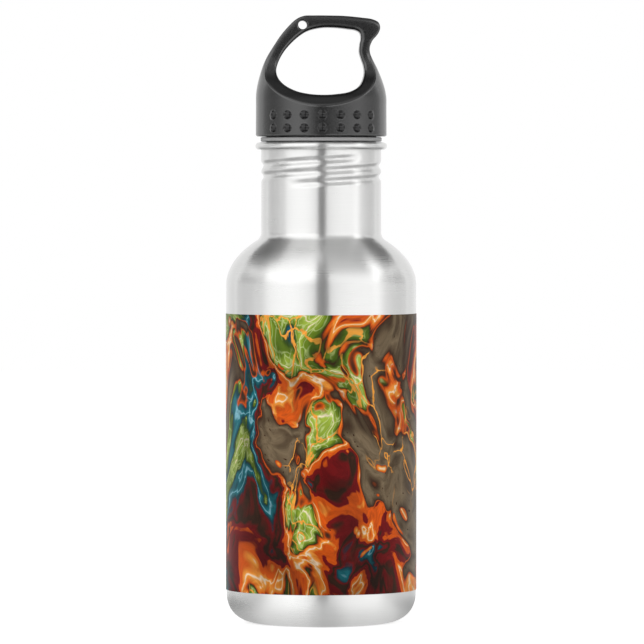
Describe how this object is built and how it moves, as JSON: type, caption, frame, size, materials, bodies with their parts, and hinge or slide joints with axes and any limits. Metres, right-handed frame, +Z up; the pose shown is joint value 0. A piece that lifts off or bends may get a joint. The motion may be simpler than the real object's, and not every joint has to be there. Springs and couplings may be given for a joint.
{
  "type": "stainless steel water bottle",
  "caption": "Single-wall steel drinking bottle with a printed body band, a rolled-thread neck, a grey seal and a dark screw-in cap with a carrying loop.",
  "frame": {"origin": "centre of the foot ring, on the surface that the bottle stands on", "axes": "+Z up along the bottle's axis; the finger hole in the cap's loop runs along Y, and the loop's beak points to +X"},
  "size_m": [0.071, 0.071, 0.2239],
  "materials": {
    "steel": "satin steel, brushed round the bottle",
    "printed_film": null,
    "silicone": "matte mid-grey silicone",
    "plug_plastic": "moulded dark polypropylene",
    "cap_plastic": "fine-grained dark grey polypropylene"
  },
  "bodies": {
    "bottle": {"bottle_shell": "steel", "base_plate": "steel", "print_wrap": "printed_film"},
    "gasket": {"gasket": "silicone"},
    "cap": {"cap_shell": "cap_plastic", "cap_plug": "plug_plastic"}
  },
  "joints": [
    {"name": "cap_lift", "type": "slide", "parent": "bottle", "child": "gasket", "axis": [0, 0, 1], "range_m": [0, 0.0213]},
    {"name": "cap_turn", "type": "hinge", "parent": "gasket", "child": "cap", "pos_m": [0, 0, 0.1795], "axis": [0, 0, 1], "range_deg": [0, 945]}
  ],
  "couplings": [
    {"joint": "cap_lift", "follows": "cap_turn", "m_per_rad": 0.0012892}
  ]
}
